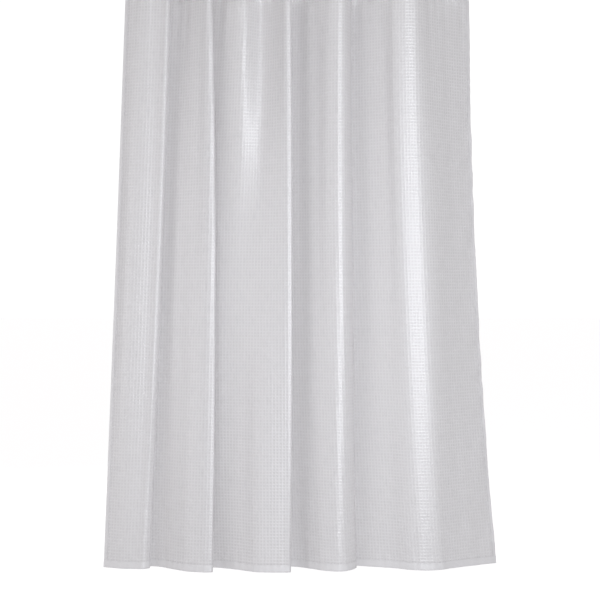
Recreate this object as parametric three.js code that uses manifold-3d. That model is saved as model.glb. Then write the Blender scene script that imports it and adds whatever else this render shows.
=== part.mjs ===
// A fabric shower curtain hung from a rod by twelve round rings, in millimetres.
// The rod itself is not part of it: its centre line is the X axis, and the curtain's front faces -Y.
import * as THREE from "three";
import { mergeVertices } from "three/addons/utils/BufferGeometryUtils.js";
import Module from "manifold-3d";

// The cloth, as it is cut and sewn.
const CLOTH_WIDTH = 1800;
const CLOTH_DROP = 2000;
const CLOTH_THICKNESS = 0.9;
const FOLDED_LAYER = 0.8;
const GAP = 0.3;
const HEADER_DEPTH = 42;
const HEM_DEPTH = 25;
const SIDE_HEM_WIDTH = 12;
const WEIGHT_RADIUS = 1.1;

// The rod that it is made for, and the plastic rings that run on it.
const ROD_RADIUS = 12.5;
const RING_INNER_RADIUS = 23;
const RING_WIRE_RADIUS = 2;
const CLASP_RADIUS = 2.9;
const CLASP_LENGTH = 9;

// The two-piece metal eyelets, clinched through the header.
const EYELET_HOLE_RADIUS = 5.5;
const EYELET_BARREL_RADIUS = 6.4;
const EYELET_LIP_RADIUS = 7.6;
const EYELET_FLANGE_RADIUS = 10;
const EYELET_FLANGE_THICKNESS = 1.1;
const EYELET_BELOW_TOP = 18;
const EYELET_FROM_SIDE = 25;
const EYELET_SIDES = 12;

// How the rings stand along the rod, from the left one: each number is the way to the next.
const FIRST_RING_X = -550;
const RING_SPACINGS = [134, 70, 77, 68, 97, 95, 87, 111, 102, 128, 123];
// Which way the cloth bulges between two rings: -1 to the front, 1 to the back.
const BULGES = [-1, 1, -1, 1, -1, -1, 1, -1, 1, -1, 1];
const FLAT_AT_EYELET = 11;

// Each fold line of the hanging cloth: how far it is from the middle, and how far it stands
// forward, first just under the header, then at half the drop, then at the hem.
const FOLD_LINES = [
  { name: "left edge", x: [-578, -611, -650], out: [32, 32, 28] },
  { name: "fold A crest", x: [-512, -556, -576], out: [62, 62, 60] },
  { name: "fold A brow", x: [-456, -488, -536], out: [66, 63, 61] },
  { name: "fold A shoulder", x: [-430, -461, -512], out: [70, 66, 63] },
  { name: "fold A lip", x: [-422, -452, -496], out: [50, 47, 44] },
  { name: "fold A back", x: [-448, -478, -514], out: [14, 18, 18] },
  { name: "fold A valley", x: [-410, -438, -478], out: [16, 24, 16] },
  { name: "fold B rise", x: [-376, -400, -430], out: [30, 46, 50] },
  { name: "fold B shoulder", x: [-334, -345, -372], out: [64, 78, 100] },
  { name: "fold B crest", x: [-300, -292, -304], out: [86, 99, 122] },
  { name: "fold B lip", x: [-282, -271, -282], out: [80, 94, 116] },
  { name: "fold B back", x: [-322, -320, -318], out: [18, 18, 34] },
  { name: "fold B valley", x: [-268, -262, -262], out: [34, 46, 42] },
  { name: "soft fold crest", x: [-180, -192, -202], out: [74, 58, 72] },
  { name: "soft fold notch", x: [-122, -121, -138], out: [30, 82, 116] },
  { name: "fold C crest", x: [-40, -35, -52], out: [100, 112, 122] },
  { name: "fold C lip", x: [-22, -18, -26], out: [95, 108, 117] },
  { name: "fold C back", x: [-66, -64, -62], out: [12, 8, 24] },
  { name: "fold C valley", x: [-8, -4, 0], out: [8, 22, 26] },
  { name: "fold D rise", x: [34, 36, 44], out: [34, 46, 58] },
  { name: "fold D step", x: [68, 70, 76], out: [54, 62, 84] },
  { name: "fold D shoulder", x: [104, 105, 106], out: [82, 86, 100] },
  { name: "fold D crest", x: [132, 132, 134], out: [92, 95, 107] },
  { name: "fold D brow", x: [156, 158, 162], out: [84, 88, 94] },
  { name: "fold D lip", x: [180, 182, 194], out: [24, 38, 40] },
  { name: "fold D valley", x: [166, 166, 176], out: [-16, -6, 0] },
  { name: "fold E foot", x: [194, 194, 208], out: [-6, 0, 8] },
  { name: "fold E rise", x: [278, 300, 314], out: [44, 54, 44] },
  { name: "fold E shoulder", x: [316, 340, 380], out: [78, 86, 80] },
  { name: "fold E crest", x: [360, 388, 428], out: [88, 92, 86] },
  { name: "fold E brow", x: [400, 434, 472], out: [80, 86, 78] },
  { name: "fold E fall", x: [442, 480, 518], out: [44, 54, 44] },
  { name: "side fall", x: [516, 548, 592], out: [-6, -2, 0] },
  { name: "right edge", x: [584, 605, 674], out: [-42, -38, -44] },
];
const FOLD_DROPS = [110, 1000, 2000];
const FOLD_MIDDLE = 45;
const PANEL_DROPS = [1.5, 42.3, 80, 115, 560, 1000, 1500, 1974.7, 1992];
const STEPS_PER_BULGE = 9;

const wasm = await Module();
wasm.setup();

const eyeletCount = RING_SPACINGS.length + 1;
const eyeletPitch = (CLOTH_WIDTH - 2 * EYELET_FROM_SIDE) / RING_SPACINGS.length;
const ringX = [FIRST_RING_X];
RING_SPACINGS.forEach((way) => ringX.push(ringX[ringX.length - 1] + way));
const ringZ = ROD_RADIUS + GAP - RING_INNER_RADIUS;
const eyeletZ = ringZ - RING_INNER_RADIUS + 2 * GAP - EYELET_HOLE_RADIUS;
const topZ = eyeletZ + EYELET_BELOW_TOP;

// A line seen from above, made so that a place on it can be asked for by the way along it.
function walkable(points) {
  const ways = [0];
  points.slice(1).forEach((p, i) => ways.push(ways[i] + p.distanceTo(points[i])));
  const length = ways[ways.length - 1];
  const at = (way) => {
    const w = THREE.MathUtils.clamp(way, 0, length);
    let i = 1;
    while (i < ways.length - 1 && ways[i] < w) i += 1;
    const share = (w - ways[i - 1]) / (ways[i] - ways[i - 1]);
    return points[i - 1].clone().lerp(points[i], share);
  };
  return { length, at };
}

// The number between low and high at which a rising function reaches a target.
function solve(rising, target, low, high) {
  let [a, b] = [low, high];
  for (let i = 0; i < 40; i += 1) {
    const middle = (a + b) / 2;
    if (rising(middle) < target) a = middle;
    else b = middle;
  }
  return (a + b) / 2;
}

// One bulge of the header's cloth, from the flat at one eyelet to the flat at the next.
function bulgePoints(i, depth) {
  const start = ringX[i] + FLAT_AT_EYELET;
  const width = RING_SPACINGS[i] - 2 * FLAT_AT_EYELET;
  const points = [];
  for (let k = 0; k <= 40; k += 1) {
    const t = k / 40;
    const y = BULGES[i] * depth * Math.sin(Math.PI * t) ** 2;
    points.push(new THREE.Vector2(start + width * t, y));
  }
  return points;
}

function headerLine() {
  const slack = eyeletPitch - 2 * FLAT_AT_EYELET;
  const points = [new THREE.Vector2(ringX[0] - EYELET_FROM_SIDE, 0)];
  RING_SPACINGS.forEach((way, i) => {
    const depth = solve((d) => walkable(bulgePoints(i, d)).length, slack, 0, 120);
    points.push(...bulgePoints(i, depth));
  });
  points.push(new THREE.Vector2(ringX[eyeletCount - 1] + EYELET_FROM_SIDE, 0));
  return walkable(points);
}

// The cloth's line at one level, with its folds as deep as its whole width needs.
function foldedLine(level) {
  const smooth = (reach) => {
    const through = FOLD_LINES.map(
      (f) => new THREE.Vector3(f.x[level], -reach * (f.out[level] - FOLD_MIDDLE), 0),
    );
    const curve = new THREE.CatmullRomCurve3(through, false, "centripetal");
    return curve.getPoints(12 * FOLD_LINES.length).map((p) => new THREE.Vector2(p.x, p.y));
  };
  const reach = solve((r) => walkable(smooth(r)).length, CLOTH_WIDTH, 0.4, 2.5);
  return walkable(smooth(reach));
}

const header = headerLine();
const levels = FOLD_DROPS.map((drop, level) => foldedLine(level));

// The place of the cloth's middle layer, from the way along its width and the drop from its top.
function clothPoint(way, drop) {
  const [a, b, c] = FOLD_DROPS;
  const d = Math.max(drop, a);
  const shares = [
    ((d - b) * (d - c)) / ((a - b) * (a - c)),
    ((d - a) * (d - c)) / ((b - a) * (b - c)),
    ((d - a) * (d - b)) / ((c - a) * (c - b)),
  ];
  const hanging = new THREE.Vector2();
  levels.forEach((line, i) => hanging.addScaledVector(line.at(way), shares[i]));
  const free = THREE.MathUtils.smoothstep(drop, HEADER_DEPTH, a);
  const p = header.at(way).lerp(hanging, free);
  return new THREE.Vector3(p.x, p.y, topZ - drop);
}

// The level direction out of the cloth's back face.
function clothBack(way, drop) {
  const along = clothPoint(way + 2, drop).sub(clothPoint(way - 2, drop));
  return new THREE.Vector3(-along.y, along.x, 0).normalize();
}

// The ways along the cloth at which a strip across it has its sections.
function waysAcross(from, to) {
  const slack = eyeletPitch - 2 * FLAT_AT_EYELET;
  const ways = [];
  for (let i = 0; i < eyeletCount; i += 1) {
    const eyelet = EYELET_FROM_SIDE + i * eyeletPitch;
    ways.push(eyelet - FLAT_AT_EYELET, eyelet + FLAT_AT_EYELET);
    for (let k = 1; i < eyeletCount - 1 && k < STEPS_PER_BULGE; k += 1) {
      ways.push(eyelet + FLAT_AT_EYELET + (slack * k) / STEPS_PER_BULGE);
    }
  }
  return [from, SIDE_HEM_WIDTH, ...ways, CLOTH_WIDTH - SIDE_HEM_WIDTH, to];
}

function bare(geometry) {
  const copy = geometry.clone();
  copy.deleteAttribute("normal");
  copy.deleteAttribute("uv");
  return mergeVertices(copy);
}

// Gives each four-sided face the diagonal along which way and drop grow together, so that both
// sides of the cloth bend along the same lines and stay a thickness apart.
function alignDiagonals(index, places) {
  for (let i = 0; i < index.count; i += 6) {
    const first = [0, 1, 2].map((k) => index.getX(i + k));
    const second = [3, 4, 5].map((k) => index.getX(i + k));
    const shared = first.filter((v) => second.includes(v)).map((v) => places[v]);
    const [a, b] = shared;
    if (shared.length === 2 && (a.way - b.way) * (a.drop - b.drop) < 0) {
      const one = first.find((v) => !second.includes(v));
      const other = second.find((v) => !first.includes(v));
      const next = first[(first.indexOf(one) + 1) % 3];
      const last = first[(first.indexOf(one) + 2) % 3];
      [one, next, other, one, other, last].forEach((v, k) => index.setX(i + k, v));
    }
  }
}

// Moves a straight piece onto the hanging cloth: place gives the way, drop and thickness there.
function hang(geometry, place) {
  const hung = bare(geometry);
  const position = hung.getAttribute("position");
  const places = [];
  for (let i = 0; i < position.count; i += 1) {
    places.push(place(new THREE.Vector3().fromBufferAttribute(position, i)));
    const { way, drop, back } = places[i];
    const p = clothPoint(way, drop).addScaledVector(clothBack(way, drop), back);
    position.setXYZ(i, p.x, p.y, p.z);
  }
  alignDiagonals(hung.index, places);
  return hung;
}

// A strip across the cloth: its section is drawn back and up, and its own Z counts the sections.
function hangAcross(section, topDrop, ways) {
  const steps = ways.length - 1;
  const straight = new THREE.ExtrudeGeometry(section, { depth: steps, steps, bevelEnabled: false });
  return hang(straight, (p) => ({
    way: ways[Math.round(p.z)],
    drop: topDrop - p.y,
    back: p.x,
  }));
}

// A strip down one side: its section is drawn back and inwards, and its own Z counts the sections.
function hangDown(section, drops, onRight) {
  const steps = drops.length - 1;
  const straight = new THREE.ExtrudeGeometry(section, { depth: steps, steps, bevelEnabled: false });
  return hang(straight, (p) => ({
    way: onRight ? CLOTH_WIDTH - p.y : p.y,
    drop: drops[Math.round(p.z)],
    back: onRight ? -p.x : p.x,
  }));
}

function shapeOf(points) {
  return new THREE.Shape(points.map(([x, y]) => new THREE.Vector2(x, y)));
}

function solidOf(geometry) {
  const closed = bare(geometry);
  return new wasm.Manifold(
    new wasm.Mesh({
      numProp: 3,
      vertProperties: new Float32Array(closed.getAttribute("position").array),
      triVerts: new Uint32Array(closed.index.array),
    }),
  );
}

function geometryOf(solid) {
  const mesh = solid.getMesh();
  const geometry = new THREE.BufferGeometry();
  geometry.setAttribute("position", new THREE.BufferAttribute(mesh.vertProperties, 3));
  geometry.setIndex(new THREE.BufferAttribute(mesh.triVerts, 1));
  geometry.computeVertexNormals();
  return geometry;
}

// Takes the eyelets' holes out of a piece of cloth.
function punched(geometry) {
  let solid = solidOf(geometry);
  ringX.forEach((x) => {
    const hole = new THREE.CylinderGeometry(
      EYELET_BARREL_RADIUS + GAP,
      EYELET_BARREL_RADIUS + GAP,
      12,
      EYELET_SIDES,
    );
    hole.translate(x, 0, eyeletZ);
    solid = solid.subtract(solidOf(hole));
  });
  return geometryOf(solid);
}

const curtain = new THREE.Group();
curtain.name = "shower_curtain";

function add(name, geometry, look) {
  const mesh = new THREE.Mesh(geometry, new THREE.MeshStandardMaterial(look));
  mesh.name = name;
  curtain.add(mesh);
  return mesh;
}

const WOVEN = { color: 0xe9e7e8, roughness: 0.75 };
const PLAIN = { color: 0xe2e0e1, roughness: 0.7 };

// The waffle-woven panel, from inside the header's fold to inside the hem's fold.
const panelWays = waysAcross(GAP + FOLDED_LAYER + GAP, CLOTH_WIDTH - GAP - FOLDED_LAYER - GAP);
const panelBlock = new THREE.BoxGeometry(
  CLOTH_THICKNESS,
  PANEL_DROPS.length - 1,
  panelWays.length - 1,
  1,
  PANEL_DROPS.length - 1,
  panelWays.length - 1,
);
panelBlock.translate(0, -(PANEL_DROPS.length - 1) / 2, (panelWays.length - 1) / 2);
const panel = hang(panelBlock, (p) => ({
  way: panelWays[Math.round(p.z)],
  drop: PANEL_DROPS[Math.round(-p.y)],
  back: p.x,
}));
add("curtain_panel", punched(panel), WOVEN);

// Every folded edge wraps both faces of the panel, with the fold at the outside.
const foldInside = CLOTH_THICKNESS / 2 + GAP;
const foldOutside = foldInside + FOLDED_LAYER;
function foldSection(depth, sign) {
  const points = [
    [-foldOutside, -depth],
    [-foldInside, -depth],
    [-foldInside, -FOLDED_LAYER],
    [foldInside, -FOLDED_LAYER],
    [foldInside, -depth],
    [foldOutside, -depth],
    [foldOutside, 0],
    [-foldOutside, 0],
  ];
  return shapeOf(points.map(([x, y]) => [x, sign * y]));
}

// The header: the cloth doubled over the top edge, stiff enough to carry the eyelets.
const acrossWays = waysAcross(0, CLOTH_WIDTH);
const headerBand = hangAcross(foldSection(HEADER_DEPTH, 1), 0, acrossWays);
add("header_band", punched(headerBand), PLAIN);

// The bottom hem: a pocket around the panel's lower edge, with room for the weight in its fold.
const hemRoom = WEIGHT_RADIUS + GAP;
const hemOutside = hemRoom + FOLDED_LAYER;
const hemSection = shapeOf([
  [-hemOutside, HEM_DEPTH],
  [-hemOutside, 1],
  [-hemRoom, 0],
  [hemRoom, 0],
  [hemOutside, 1],
  [hemOutside, HEM_DEPTH],
  [hemRoom, HEM_DEPTH],
  [hemRoom, FOLDED_LAYER],
  [-hemRoom, FOLDED_LAYER],
  [-hemRoom, HEM_DEPTH],
]);
add("bottom_hem", hangAcross(hemSection, CLOTH_DROP, acrossWays), PLAIN);

// The weight: a thin leaded cord lying in the hem's fold from side to side.
const weightSection = new THREE.Shape();
const weightHeight = FOLDED_LAYER + GAP + WEIGHT_RADIUS;
for (let k = 0; k < 6; k += 1) {
  const turn = (Math.PI * k) / 3;
  const x = WEIGHT_RADIUS * Math.cos(turn);
  const y = weightHeight + WEIGHT_RADIUS * Math.sin(turn);
  if (k === 0) weightSection.moveTo(x, y);
  else weightSection.lineTo(x, y);
}
const weightWays = waysAcross(4, CLOTH_WIDTH - 4);
add("hem_weight_cord", hangAcross(weightSection, CLOTH_DROP, weightWays), {
  color: 0x8d8f92,
  roughness: 0.6,
});

// The side hems run between the header and the bottom hem.
const sideDrops = [HEADER_DEPTH + GAP, 80, 115, 560, 1000, 1500, CLOTH_DROP - HEM_DEPTH - GAP];
const sideSection = foldSection(SIDE_HEM_WIDTH, -1);
add("left_side_hem", hangDown(sideSection, sideDrops, false), PLAIN);
add("right_side_hem", hangDown(sideSection, sideDrops, true), PLAIN);

// Eyelets: the front piece is a flange and a barrel whose end is rolled over the back washer.
const headerFace = foldOutside + GAP;
const washerBack = headerFace + EYELET_FLANGE_THICKNESS;
const frontProfile = [
  [EYELET_HOLE_RADIUS, -washerBack],
  [EYELET_FLANGE_RADIUS, -washerBack],
  [EYELET_FLANGE_RADIUS, -headerFace],
  [EYELET_BARREL_RADIUS, -headerFace],
  [EYELET_BARREL_RADIUS, washerBack + GAP],
  [EYELET_LIP_RADIUS, washerBack + GAP],
  [EYELET_LIP_RADIUS, washerBack + GAP + 0.5],
  [EYELET_HOLE_RADIUS, washerBack + GAP + 0.5],
];
const washerProfile = [
  [EYELET_BARREL_RADIUS + GAP, headerFace],
  [EYELET_FLANGE_RADIUS, headerFace],
  [EYELET_FLANGE_RADIUS, washerBack],
  [EYELET_BARREL_RADIUS + GAP, washerBack],
];
function turned(profile) {
  const points = [...profile, profile[0]].map(([r, y]) => new THREE.Vector2(r, y));
  return new THREE.LatheGeometry(points, EYELET_SIDES);
}

// Rings: one round wire each, closed at the front by a snap clasp.
const wireCircle = RING_INNER_RADIUS + RING_WIRE_RADIUS;
const hoop = new THREE.TorusGeometry(wireCircle, RING_WIRE_RADIUS, 6, 20);
hoop.rotateY(Math.PI / 2);
const clasp = new THREE.CylinderGeometry(CLASP_RADIUS, CLASP_RADIUS, CLASP_LENGTH, 8);
clasp.rotateX(Math.PI / 2);
clasp.translate(0, -wireCircle, 0);
const METAL = { color: 0xb9bcc0, roughness: 0.3, metalness: 1 };
const PLASTIC = { color: 0xf4f4f2, roughness: 0.35 };

ringX.forEach((x, i) => {
  const number = String(i + 1).padStart(2, "0");
  add(`grommet_${number}_front`, turned(frontProfile), METAL).position.set(x, 0, eyeletZ);
  add(`grommet_${number}_back`, turned(washerProfile), METAL).position.set(x, 0, eyeletZ);
  add(`ring_${number}`, geometryOf(solidOf(hoop).add(solidOf(clasp))), PLASTIC).position.set(
    x,
    0,
    ringZ,
  );
});

export default curtain;
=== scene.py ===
import math

import bpy
import numpy as np
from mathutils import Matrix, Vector


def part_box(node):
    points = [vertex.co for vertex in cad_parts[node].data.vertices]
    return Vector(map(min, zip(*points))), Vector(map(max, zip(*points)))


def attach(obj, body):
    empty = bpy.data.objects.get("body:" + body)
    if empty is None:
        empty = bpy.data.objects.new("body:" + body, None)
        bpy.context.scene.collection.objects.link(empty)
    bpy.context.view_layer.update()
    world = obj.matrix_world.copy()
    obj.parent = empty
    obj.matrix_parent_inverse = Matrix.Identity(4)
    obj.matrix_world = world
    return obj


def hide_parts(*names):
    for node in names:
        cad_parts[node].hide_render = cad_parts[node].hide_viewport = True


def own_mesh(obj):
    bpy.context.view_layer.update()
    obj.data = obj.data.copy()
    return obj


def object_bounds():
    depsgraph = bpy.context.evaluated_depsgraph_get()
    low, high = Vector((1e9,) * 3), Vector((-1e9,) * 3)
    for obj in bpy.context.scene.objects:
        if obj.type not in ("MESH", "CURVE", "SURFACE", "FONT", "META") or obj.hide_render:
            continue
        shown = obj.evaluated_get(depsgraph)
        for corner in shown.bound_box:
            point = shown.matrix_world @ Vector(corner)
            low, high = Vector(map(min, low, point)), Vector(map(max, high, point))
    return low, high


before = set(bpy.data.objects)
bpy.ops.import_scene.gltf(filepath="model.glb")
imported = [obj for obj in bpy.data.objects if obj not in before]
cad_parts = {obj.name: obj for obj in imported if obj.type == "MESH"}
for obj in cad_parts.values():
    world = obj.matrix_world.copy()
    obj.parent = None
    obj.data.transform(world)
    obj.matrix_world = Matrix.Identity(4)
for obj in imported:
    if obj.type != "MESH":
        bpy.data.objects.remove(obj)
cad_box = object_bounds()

# ---------------------------------------------------------------------------------------------
# Camera. It stands straight in front of the curtain, level with the middle of what it sees, and
# its picture ends a hand's breadth below the top edge and a little below the hem.
# ---------------------------------------------------------------------------------------------
camera_optics = bpy.data.cameras.new("camera")
camera_optics.sensor_width = 36.0
camera_optics.lens = 68.9
camera = bpy.data.objects.new("camera", camera_optics)
camera.location = (0.0066, -3.83, -1.126)
camera.rotation_euler = (math.radians(90), 0, 0)
bpy.context.scene.collection.objects.link(camera)
bpy.context.scene.camera = camera

# ---------------------------------------------------------------------------------------------
# The panel: one sheet of white waffle-woven polyester, 1.80 m wide and 2.00 m long as cut. It
# hangs from the header in soft pleats that spread a little towards the hem. Every other piece
# of cloth is sewn to it, so the way it hangs is worked out here once.
# ---------------------------------------------------------------------------------------------
CLOTH_WIDTH = 1.800
CLOTH_DROP = 2.000
HEADER_DEPTH = 0.042
HEM_DEPTH = 0.025
SIDE_HEM_WIDTH = 0.012
EYELET_FROM_SIDE = 0.025
FLAT_AT_EYELET = 0.011

ring_numbers = [f"{i:02d}" for i in range(1, 13)]
ring_boxes = [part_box(f"ring_{number}") for number in ring_numbers]
ring_x = [(low.x + high.x) / 2 for low, high in ring_boxes]
eyelet_pitch = (CLOTH_WIDTH - 2 * EYELET_FROM_SIDE) / (len(ring_x) - 1)
top_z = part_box("header_band")[1].z

# Which way the cloth bulges between two rings: -1 to the front, 1 to the back.
BULGES = [-1, 1, -1, 1, -1, -1, 1, -1, 1, -1, 1]

# Each fold line: how far it is from the middle, and how far it stands forward, in millimetres,
# first just under the header, then at half the drop, then at the hem.
FOLD_LINES = [
    ("left edge", (-578, -611, -650), (32, 32, 28)),
    ("fold A crest", (-512, -556, -576), (62, 62, 60)),
    ("fold A brow", (-456, -488, -536), (66, 63, 61)),
    ("fold A shoulder", (-430, -461, -512), (70, 66, 63)),
    ("fold A lip", (-422, -452, -496), (50, 47, 44)),
    ("fold A back", (-448, -478, -514), (14, 18, 18)),
    ("fold A valley", (-410, -438, -478), (16, 24, 16)),
    ("fold B rise", (-376, -400, -430), (30, 46, 50)),
    ("fold B shoulder", (-334, -345, -372), (64, 78, 100)),
    ("fold B crest", (-300, -292, -304), (86, 99, 122)),
    ("fold B lip", (-282, -271, -282), (80, 94, 116)),
    ("fold B back", (-322, -320, -318), (18, 18, 34)),
    ("fold B valley", (-268, -262, -262), (34, 46, 42)),
    ("soft fold crest", (-180, -192, -202), (74, 58, 72)),
    ("soft fold notch", (-122, -121, -138), (30, 82, 116)),
    ("fold C crest", (-40, -35, -52), (100, 112, 122)),
    ("fold C lip", (-22, -18, -26), (95, 108, 117)),
    ("fold C back", (-66, -64, -62), (12, 8, 24)),
    ("fold C valley", (-8, -4, 0), (8, 22, 26)),
    ("fold D rise", (34, 36, 44), (34, 46, 58)),
    ("fold D step", (68, 70, 76), (54, 62, 84)),
    ("fold D shoulder", (104, 105, 106), (82, 86, 100)),
    ("fold D crest", (132, 132, 134), (92, 95, 107)),
    ("fold D brow", (156, 158, 162), (84, 88, 94)),
    ("fold D lip", (180, 182, 194), (24, 38, 40)),
    ("fold D valley", (166, 166, 176), (-16, -6, 0)),
    ("fold E foot", (194, 194, 208), (-6, 0, 8)),
    ("fold E rise", (278, 300, 314), (44, 54, 44)),
    ("fold E shoulder", (316, 340, 380), (78, 86, 80)),
    ("fold E crest", (360, 388, 428), (88, 92, 86)),
    ("fold E brow", (400, 434, 472), (80, 86, 78)),
    ("fold E fall", (442, 480, 518), (44, 54, 44)),
    ("side fall", (516, 548, 592), (-6, -2, 0)),
    ("right edge", (584, 605, 674), (-42, -38, -44)),
]
FOLD_DROPS = (0.110, 1.000, 2.000)
FOLD_MIDDLE = 45
STEPS_PER_FOLD = 30
BULGE_POINTS = 121
DEEPEST_BULGE = 0.12
LEAST_REACH = 0.4
MOST_REACH = 2.5
HALVINGS = 40


def way_along(points):
    return np.concatenate([[0], np.cumsum(np.linalg.norm(np.diff(points, axis=0), axis=1))])


def deep_enough(line_of, length, low, high):
    """The line that line_of makes at the depth where it is as long as the cloth it takes."""
    for _ in range(HALVINGS):
        depth = (low + high) / 2
        if way_along(line_of(depth))[-1] < length:
            low = depth
        else:
            high = depth
    return line_of(depth)


def header_line():
    """The header from above: flat at each eyelet, with one bulge of cloth between two."""
    slack = eyelet_pitch - 2 * FLAT_AT_EYELET
    bulges = []
    for i, side in enumerate(BULGES):
        start = ring_x[i] + FLAT_AT_EYELET
        width = ring_x[i + 1] - ring_x[i] - 2 * FLAT_AT_EYELET
        t = np.linspace(0, 1, BULGE_POINTS)

        def bulge(depth):
            out = side * depth * np.sin(np.pi * t) ** 2
            return np.column_stack([start + width * t, out])

        bulges.append(deep_enough(bulge, slack, 0, DEEPEST_BULGE))
    left = [[ring_x[0] - EYELET_FROM_SIDE, 0]]
    right = [[ring_x[-1] + EYELET_FROM_SIDE, 0]]
    return np.concatenate([left, *bulges, right])


def smooth_line(through):
    """A smooth line through the points, with no loop where two of them are close together."""
    ends = [2 * through[:1] - through[1:2], through, 2 * through[-1:] - through[-2:-1]]
    p = np.concatenate(ends)
    knots = np.concatenate([[0], np.cumsum(np.linalg.norm(np.diff(p, axis=0), axis=1) ** 0.5)])
    pieces = []
    for i in range(1, len(p) - 2):
        k0, k1, k2, k3 = knots[i - 1 : i + 3]
        t = np.linspace(k1, k2, STEPS_PER_FOLD, endpoint=False)[:, None]
        a1 = ((k1 - t) * p[i - 1] + (t - k0) * p[i]) / (k1 - k0)
        a2 = ((k2 - t) * p[i] + (t - k1) * p[i + 1]) / (k2 - k1)
        a3 = ((k3 - t) * p[i + 1] + (t - k2) * p[i + 2]) / (k3 - k2)
        b1 = ((k2 - t) * a1 + (t - k0) * a2) / (k2 - k0)
        b2 = ((k3 - t) * a2 + (t - k1) * a3) / (k3 - k1)
        pieces.append(((k2 - t) * b1 + (t - k1) * b2) / (k2 - k1))
    return np.concatenate([*pieces, through[-1:]])


def folded_line(level):
    """The cloth from above at one level, with its folds as deep as its whole width needs."""

    def folds(reach):
        points = [(x[level], -reach * (out[level] - FOLD_MIDDLE)) for _, x, out in FOLD_LINES]
        return smooth_line(np.array(points) / 1000)

    return deep_enough(folds, CLOTH_WIDTH, LEAST_REACH, MOST_REACH)


cloth_lines = [header_line()] + [folded_line(level) for level in range(3)]
cloth_ways = [way_along(line) for line in cloth_lines]
fold_ways = [ways[::STEPS_PER_FOLD] for ways in cloth_ways[1:]]


def smooth_step(value, low, high):
    t = np.clip((value - low) / (high - low), 0, 1)
    return t * t * (3 - 2 * t)


def place_on_line(way, level):
    line, ways = cloth_lines[level], cloth_ways[level]
    return np.stack([np.interp(way, ways, line[:, axis]) for axis in (0, 1)], axis=-1)


def middle_layer(way, drop):
    """Where the cloth's middle layer is, from the way along its width and the drop.

    From level to level each fold line runs on from its way along the width at the one to its
    way at the next, and the cloth between two lines goes with them.
    """
    a, b, c = FOLD_DROPS
    d = np.maximum(drop, a)
    shares = (
        (d - b) * (d - c) / ((a - b) * (a - c)),
        (d - a) * (d - c) / ((b - a) * (b - c)),
        (d - a) * (d - b) / ((c - a) * (c - b)),
    )
    fold_places = [sum(share * k for share, k in zip(shares, ways)) for ways in zip(*fold_ways)]
    passed = [
        np.clip((way - here) / (following - here), 0, 1)
        for here, following in zip(fold_places[:-1], fold_places[1:])
    ]
    hanging = 0
    for level, (share, ways) in enumerate(zip(shares, fold_ways), start=1):
        own_way = sum(part * width for part, width in zip(passed, np.diff(ways)))
        hanging = hanging + share[..., None] * place_on_line(own_way, level)
    free = smooth_step(drop, HEADER_DEPTH, a)[..., None]
    plan = place_on_line(way, 0) * (1 - free) + hanging * free
    return np.concatenate([plan, (top_z - drop)[..., None]], axis=-1)


NEXT_TO = 0.002


def to_the_back(way, drop):
    """The direction square to the cloth, out of its back."""
    along = middle_layer(way + NEXT_TO, drop) - middle_layer(way - NEXT_TO, drop)
    back = np.stack([-along[..., 1], along[..., 0], 0 * along[..., 0]], axis=-1)
    return back / np.linalg.norm(back, axis=-1, keepdims=True)


# Soft waves over the whole cloth: how far out each goes in millimetres, how fast it turns along
# the width and down the drop in radians per metre, and where it starts.
SOFT_WAVES = [(0.45, 71, 1.1, 0.4), (0.3, 103, -1.7, 2.1), (0.5, 37, 3.9, 4.0)]
# How far out the other creases go in millimetres, and how soon each kind fades in metres.
GATHERS_OUT, GATHERS_FADE = 1.7, 0.12
PUCKERS_OUT, PUCKERS_FADE = 0.5, 0.035
CRINKLES_OUT, FINE_CRINKLES_OUT, CRINKLES_FADE = 1.8, 0.8, 0.05
HELD_BY_HEADER = 0.03
FREE_BELOW = 0.2


def handling(way, drop):
    """How far handling and its own weight have pushed the cloth off its smooth folds."""
    soft = sum(
        out * np.sin(across * way + down * drop + start)
        for out, across, down, start in SOFT_WAVES
    )
    below_header = np.clip((drop - HEADER_DEPTH) / HELD_BY_HEADER, 0, 1)
    below_header = below_header * np.exp(-drop / GATHERS_FADE)
    gathers = GATHERS_OUT * np.sin(165 * way + 9 * np.sin(3 * way)) * below_header
    near_hem = np.exp(-np.abs(drop - (CLOTH_DROP - HEM_DEPTH)) / PUCKERS_FADE)
    puckers = PUCKERS_OUT * np.sin(210 * way + 5 * np.sin(17 * way)) * near_hem
    near_side = np.exp(-(CLOTH_WIDTH - way) / CRINKLES_FADE)
    long_ones = np.sin(33 * drop + 60 * way + 3 * np.sin(9 * drop))
    fine_ones = np.sin(118 * drop - 95 * way + 4 * np.sin(19 * drop))
    crinkles = CRINKLES_OUT * long_ones * near_side
    crinkles += FINE_CRINKLES_OUT * fine_ones * near_side
    free = smooth_step(drop, HEADER_DEPTH, FREE_BELOW)
    return (free * (soft + crinkles) + gathers + puckers) / 1000


def on_cloth(way, drop, back=0.0):
    """A place on the cloth, or that far behind its middle layer."""
    way, drop, back = np.broadcast_arrays(way, drop, back)
    off = (back + handling(way, drop))[..., None]
    return middle_layer(way, drop) + off * to_the_back(way, drop)


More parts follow.
